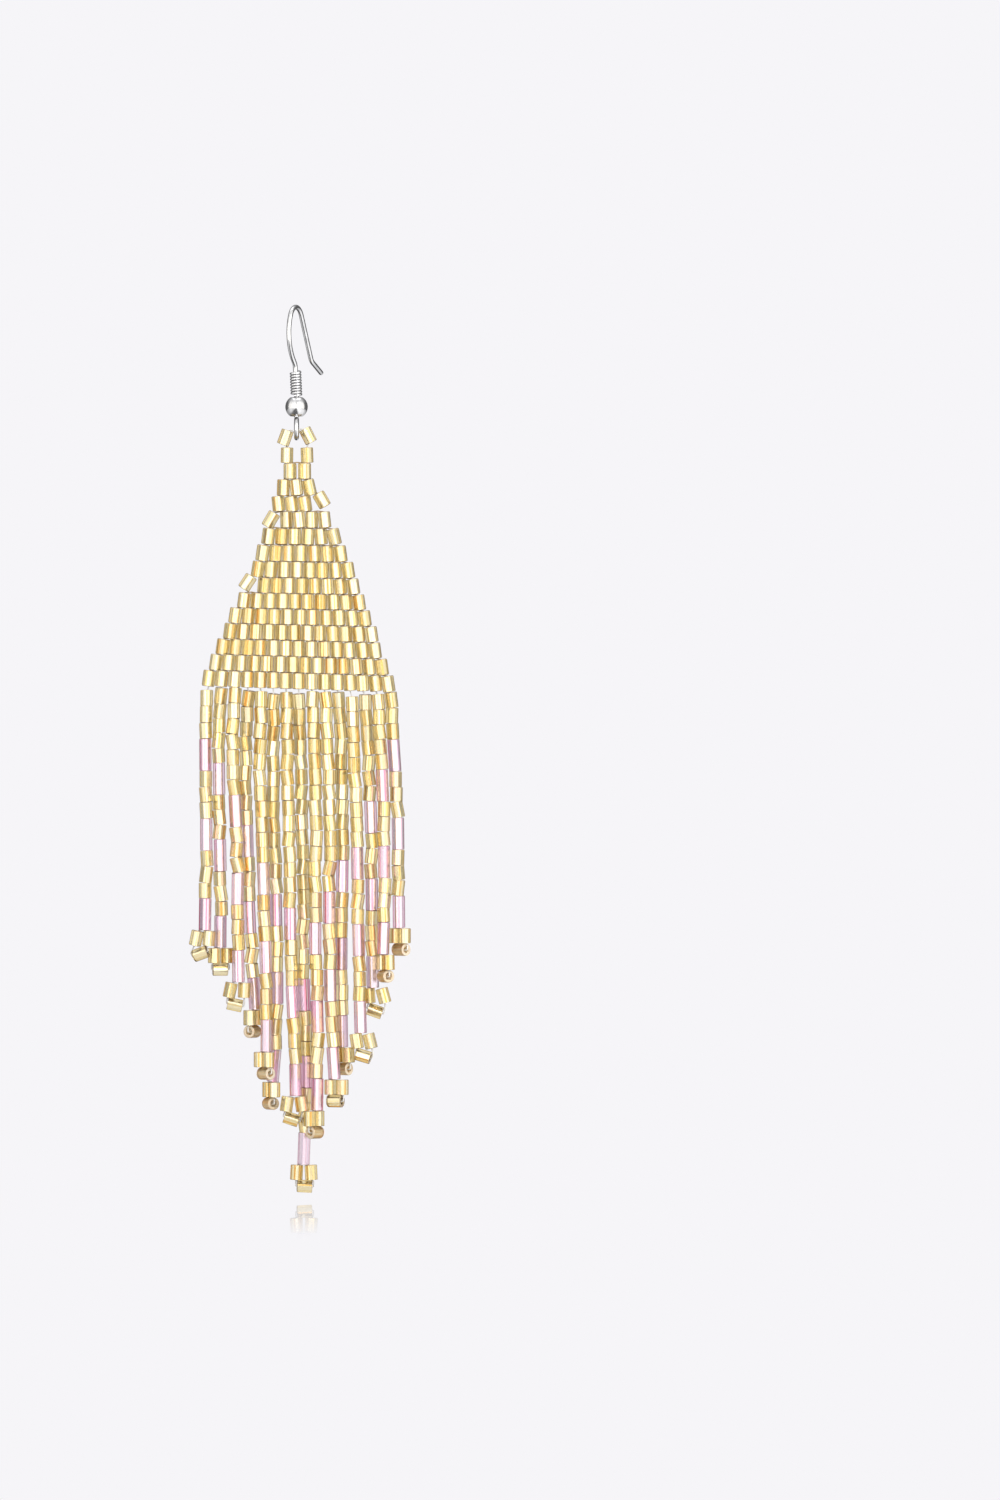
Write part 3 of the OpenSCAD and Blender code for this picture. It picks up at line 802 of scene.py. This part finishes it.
def panel():
    batch = Batch()
    ends = []
    for row, low, high, radius in panel_places():
        add_bead(batch, low, high, radius, PANEL_BEAD_EDGE)
        ends.append((row, low, high))
    # The sewing thread bridges from hole to hole along the top of each row, in the dark brown copy
    # of the thread that is painted shade between the rows
    rise = np.array([0, 0, BRIDGE_R])
    for (row, low, high), (next_row, next_low, next_high) in zip(ends, ends[1:]):
        if row != next_row or np.linalg.norm(high - next_high) > BRIDGE_REACH:
            continue
        dip, bend = bridge_end(low, high, rise)
        next_dip, next_bend = bridge_end(next_low, next_high, rise)
        points = [dip, bend, (high + next_high) / 2 + rise, next_bend, next_dip]
        tube(batch, points, [BRIDGE_R] * len(points), BRIDGE_SIDES, slot=len(GOLD))
    glass = batch.build("panel_bead_glass", GOLD + [SHADED_BRIDGE_THREAD])
    place(glass, "drop", "gold_glass", "woven_panel")


def split_runs(count):
    """Splits a count of beads into even runs."""
    k = math.ceil(count / LONGEST_RUN)
    return [(i + 1) * count // k - i * count // k for i in range(k)]


def run_table(pitch, leading):
    """Runs of a strand, gold counts or 0 for a bugle, and where each starts and the last ends."""
    runs = split_runs(leading) + [0, GAP_GOLD, 0, GAP_GOLD, 0]
    starts = [0.0]
    for run in runs:
        starts.append(starts[-1] + (run * pitch if run else BUGLE_PITCH))
    return runs, starts


def route(row, s, total):
    """The place at s down a strand of a total length."""
    start, _, _, front, end_front, sideways = row
    x = np.interp(s, [SWAY_STEP * i for i in range(len(sideways))], sideways)
    y = -np.interp(s, [0, SPREAD_L, SPREAD_HOLD * total, total], [0, front, front, end_front])
    return at_drop(x, FRINGE_Z - start - s, y)


def picot_ends(i, end):
    """Low and high end of the three beads at a strand's end."""
    shift, spread, yaw, left, right, across_x, across_z, across = PICOTS[i]
    half = PICOT_BEAD_L / 2

    def point(middle, x, z):
        return end + np.array([middle + x * cos(yaw), x * sin(yaw), z])

    pairs = []
    for side, lean in ((-spread, left), (spread, right)):
        z = -PICOT_DROP - half
        foot = point(shift, side - half * sin(lean), z - half * cos(lean))
        top = point(shift, side + half * sin(lean), z + half * cos(lean))
        pairs.append((foot, top))
    z = PICOT_LIFT - across_z
    left_end = point(across_x, -half * cos(across), z + half * sin(across))
    right_end = point(across_x, half * cos(across), z - half * sin(across))
    pairs.append((left_end, right_end))
    return pairs


def gold_run(batch, a, b, count, swing):
    """Gold beads from a down to b, which swing at the places where they meet."""
    way = (b - a) / np.linalg.norm(b - a)
    pitch = np.linalg.norm(b - a) / count
    sways = [
        np.array([rng.uniform(-swing, swing), rng.uniform(-SWING_DEPTH, SWING_DEPTH) * swing, 0])
        for _ in range(count + 1)
    ]
    for sway in sways[1:-1]:
        sway[2] = rng.uniform(-BEAD_UNEVEN, BEAD_UNEVEN)
    for k in range(count):
        lean = np.array([rng.uniform(-BEAD_LEAN, BEAD_LEAN), 0, 0])
        top = a + way * pitch * k + sways[k] + lean
        foot = a + way * (pitch * (k + 1) - BEAD_GAP) + sways[k + 1] - lean
        add_bead(batch, foot, top, STRAND_BEAD_R)


def strand(i):
    row = STRANDS[i]
    runs, starts = run_table(*row[1:3])
    total = starts[-1]
    gold, pink = Batch(), Batch()
    for run, s0, s1 in zip(runs, starts, starts[1:]):
        a, b = route(row, s0, total), route(row, s1, total)
        if s0 == 0:
            a[2] += FRINGE_RISE
        if run:
            growth = min(1, (s0 + SWING_START) / SWING_GROWTH)
            gold_run(gold, a, b, run, BEAD_SWING * growth)
        else:
            way = (b - a) / np.linalg.norm(b - a)
            add_bead(pink, b - way * BEAD_GAP, a, BUGLE_R)
    ends = picot_ends(i, route(row, total, total))
    for low, high in ends[:2]:
        add_bead(gold, low, high, PICOT_BEAD_R)
    # Painted light: a bead seen end-on takes the paler copy of the gold
    lit_end_on = abs(PICOTS[i][2]) >= LIT_END_ON_YAW
    add_bead(gold, *ends[2], PICOT_BEAD_R, first_slot=len(GOLD) if lit_end_on else 0)
    name = f"strand_{i + 1:02d}"
    place(gold.build(name + "_gold_glass", GOLD + LIT_END_ON_GOLD), "drop", "gold_glass", name + "_gold")
    place(pink.build(name + "_pink_glass", PINK), "drop", "pink_glass", name + "_bugles")


hook_wire()
coil_winding()
round_bead()
loop_beads()
panel()
for index in range(len(STRANDS)):
    strand(index)
for node_name, node in frame["nodes"].items():
    if node_name.endswith("_thread"):
        node.data.materials.clear()
        node.data.materials.append(THREAD)

# Floor, world, lights and camera

PALE = (0.922, 0.913, 0.939)
FRONT_TINT = (1.02, 1.0, 0.96)
BACK_TINT = (0.997, 0.987, 1.015)
# Brightness of the studio by how far a direction points to the right, from -1 to 1
FRONT_LIGHT = [
    (-1, 1.05),
    (-0.6, 1.3),
    (-0.3, 1.55),
    (-0.06, 1.8),
    (-0.035, 0.2),
    (0.015, 0.2),
    (0.04, 1.8),
    (0.75, 1.8),
    (1, 1.2),
]
BACK_LIGHT = [
    (-1, 0.5),
    (-0.9, 0.3),
    (-0.5, 0.3),
    (-0.35, 0.65),
    (-0.2, 0.925),
    (0.2, 0.925),
    (0.35, 0.65),
    (0.5, 0.3),
    (0.75, 0.3),
    (0.9, 0.6),
    (1, 1.3),
]
GLANCE = (0.25, 0.25, 0.25)
# The ceiling, and by how far a direction points up where it begins and is whole
CEILING = (0.9, 0.9, 0.9)
CEILING_FROM, CEILING_FULL = 0.35, 0.8
# Floor in metres
FLOOR_Z = -120.1 * MM
FLOOR_R = 0.4
FLOOR_SIDES = 96
# Brightness of the floor in the metal by how far a place lies to the right, from -1 to 1
FLOOR_IN_METAL = [
    (-1, 0.8),
    (-0.3, 0.8),
    (-0.16, 0.14),
    (0.03, 0.14),
    (0.1, 1.3),
    (0.5, 1.2),
    (1, 0.5),
]
# Mirror image in the floor: distances where it begins to fade and is gone, strength, and how far
# the floor is turned away where it begins and is whole
MIRROR_NEAR, MIRROR_FAR = 0.01, 0.13
MIRROR_SHARE = 0.5
MIRROR_TURN = [(0.3, (0, 0, 0)), (0.95, (1, 1, 1))]
# Lights in metres: name, place, size, power
LIGHTS = [
    ("key", (0.35, -0.6, 0.35), (0.3, 0.4), 1.5),
    ("fill", (-0.3, -0.7, 0.1), (0.15, 0.5), 0.6),
    ("top", (0.0, 0.1, 0.6), (0.6, 0.4), 1.0),
]
LIGHT_AIM = (0, 0, -0.06)
# Camera: distance and height of the picture there in metres, middle and sensor in millimetres
CAMERA_DISTANCE = 1.5
PICTURE_HEIGHT = 0.2025
PICTURE_X, PICTURE_Z = 27.54, -59.47
SENSOR = 36


def across_stops(stops, tint=(1, 1, 1)):
    """Stops of a ramp from places between -1 and 1 and their brightness."""
    return [((x + 1) / 2, tuple(value * c for c in tint)) for x, value in stops]


def floor():
    """A pale disc that shows a faint mirror image straight under the object, at a low angle only.
    The metal sees it in bright and dark stripes."""
    angles = [360 * i / FLOOR_SIDES for i in range(FLOOR_SIDES)]
    ring = [(FLOOR_R * cos(a), FLOOR_R * sin(a), FLOOR_Z) for a in angles]
    mesh = bpy.data.meshes.new("floor")
    mesh.from_pydata(ring, [], [list(range(FLOOR_SIDES))])
    obj = linked("floor", mesh)
    mat = empty_material("floor")
    position = add(mat, "ShaderNodeNewGeometry").outputs["Position"]
    x = add(mat, "ShaderNodeSeparateXYZ", position).outputs["X"]
    across = add(mat, "ShaderNodeMapRange", x, -FLOOR_R, FLOOR_R)
    stripes = ramp(mat, across, across_stops(FLOOR_IN_METAL))
    reflected = add(mat, "ShaderNodeLightPath").outputs["Is Reflection Ray"]
    shade = add(mat, "ShaderNodeMixRGB", reflected, (*PALE, 1), stripes)
    glow = add(mat, "ShaderNodeEmission", shade)
    mirror = add(mat, "ShaderNodeBsdfGlossy", Roughness=0.0, Color=(1, 1, 1, 1))
    level = add(mat, "ShaderNodeVectorMath", position, (1, 1, 0), operation="MULTIPLY")
    distance = add(mat, "ShaderNodeVectorMath", level, operation="LENGTH").outputs["Value"]
    fade = add(mat, "ShaderNodeMapRange", distance, MIRROR_NEAR, MIRROR_FAR, MIRROR_SHARE, 0.0)
    fade.interpolation_type = "SMOOTHSTEP"
    turn = ramp(mat, facing(mat), MIRROR_TURN)
    amount = add(mat, "ShaderNodeMath", fade, turn, operation="MULTIPLY")
    mix = add(mat, "ShaderNodeMixShader", amount, glow, mirror)
    add(mat, "ShaderNodeOutputMaterial", mix)
    mesh.materials.append(mat)


def world():
    """Pale for the camera and in the sharp mirror of the floor. For other light and reflections it
    is a studio: bright in front but for one dark strip, pale straight behind, and dark on both
    sides of that, which draws the edges of glass."""
    w = bpy.data.worlds.new("studio")
    bpy.context.scene.world = w
    w.use_nodes = True
    w.node_tree.nodes.clear()
    way = add(w, "ShaderNodeTexCoord").outputs["Generated"]
    parts = add(w, "ShaderNodeSeparateXYZ", way).outputs
    across = add(w, "ShaderNodeMath", parts["X"], 0.5, 0.5, operation="MULTIPLY_ADD")
    front = ramp(w, across, across_stops(FRONT_LIGHT, FRONT_TINT))
    back = ramp(w, across, across_stops(BACK_LIGHT, BACK_TINT))
    path = add(w, "ShaderNodeLightPath").outputs
    # What glances off an edge towards the back meets the dark
    seen = add(w, "ShaderNodeMixRGB", path["Is Reflection Ray"], back, (*GLANCE, 1))
    behind = add(w, "ShaderNodeMath", parts["Y"], 0.0, operation="GREATER_THAN")
    ring = add(w, "ShaderNodeMixRGB", behind, front, seen)
    # Overhead the ring gives way to one soft white ceiling
    overhead = add(w, "ShaderNodeMapRange", parts["Z"], CEILING_FROM, CEILING_FULL)
    dome = add(w, "ShaderNodeMixRGB", overhead, ring, (*CEILING, 1))
    studio = add(w, "ShaderNodeBackground", dome)
    plain = add(w, "ShaderNodeBackground", (*PALE, 1))
    singular, reflected = path["Is Singular Ray"], path["Is Reflection Ray"]
    mirrored = add(w, "ShaderNodeMath", singular, reflected, operation="MULTIPLY")
    pale_ray = add(w, "ShaderNodeMath", path["Is Camera Ray"], mirrored, operation="MAXIMUM")
    mix = add(w, "ShaderNodeMixShader", pale_ray, studio, plain)
    add(w, "ShaderNodeOutputWorld", mix)


def lights():
    for name, spot, size, power in LIGHTS:
        data = bpy.data.lights.new(name, "AREA")
        data.shape, data.size, data.size_y = "RECTANGLE", size[0], size[1]
        data.energy = power
        obj = linked(name, data)
        obj.location = spot
        way = Vector(LIGHT_AIM) - Vector(spot)
        obj.rotation_euler = way.to_track_quat("-Z", "Y").to_euler()


def camera():
    data = bpy.data.cameras.new("camera")
    data.sensor_width = SENSOR
    data.lens = SENSOR * CAMERA_DISTANCE / PICTURE_HEIGHT
    data.clip_start, data.clip_end = 0.05, 20
    obj = linked("camera", data)
    obj.location = (PICTURE_X * MM, -CAMERA_DISTANCE, PICTURE_Z * MM)
    obj.rotation_euler = (math.pi / 2, 0, 0)
    bpy.context.scene.camera = obj


floor()
world()
lights()
camera()
bpy.context.scene.view_settings.view_transform = "Standard"
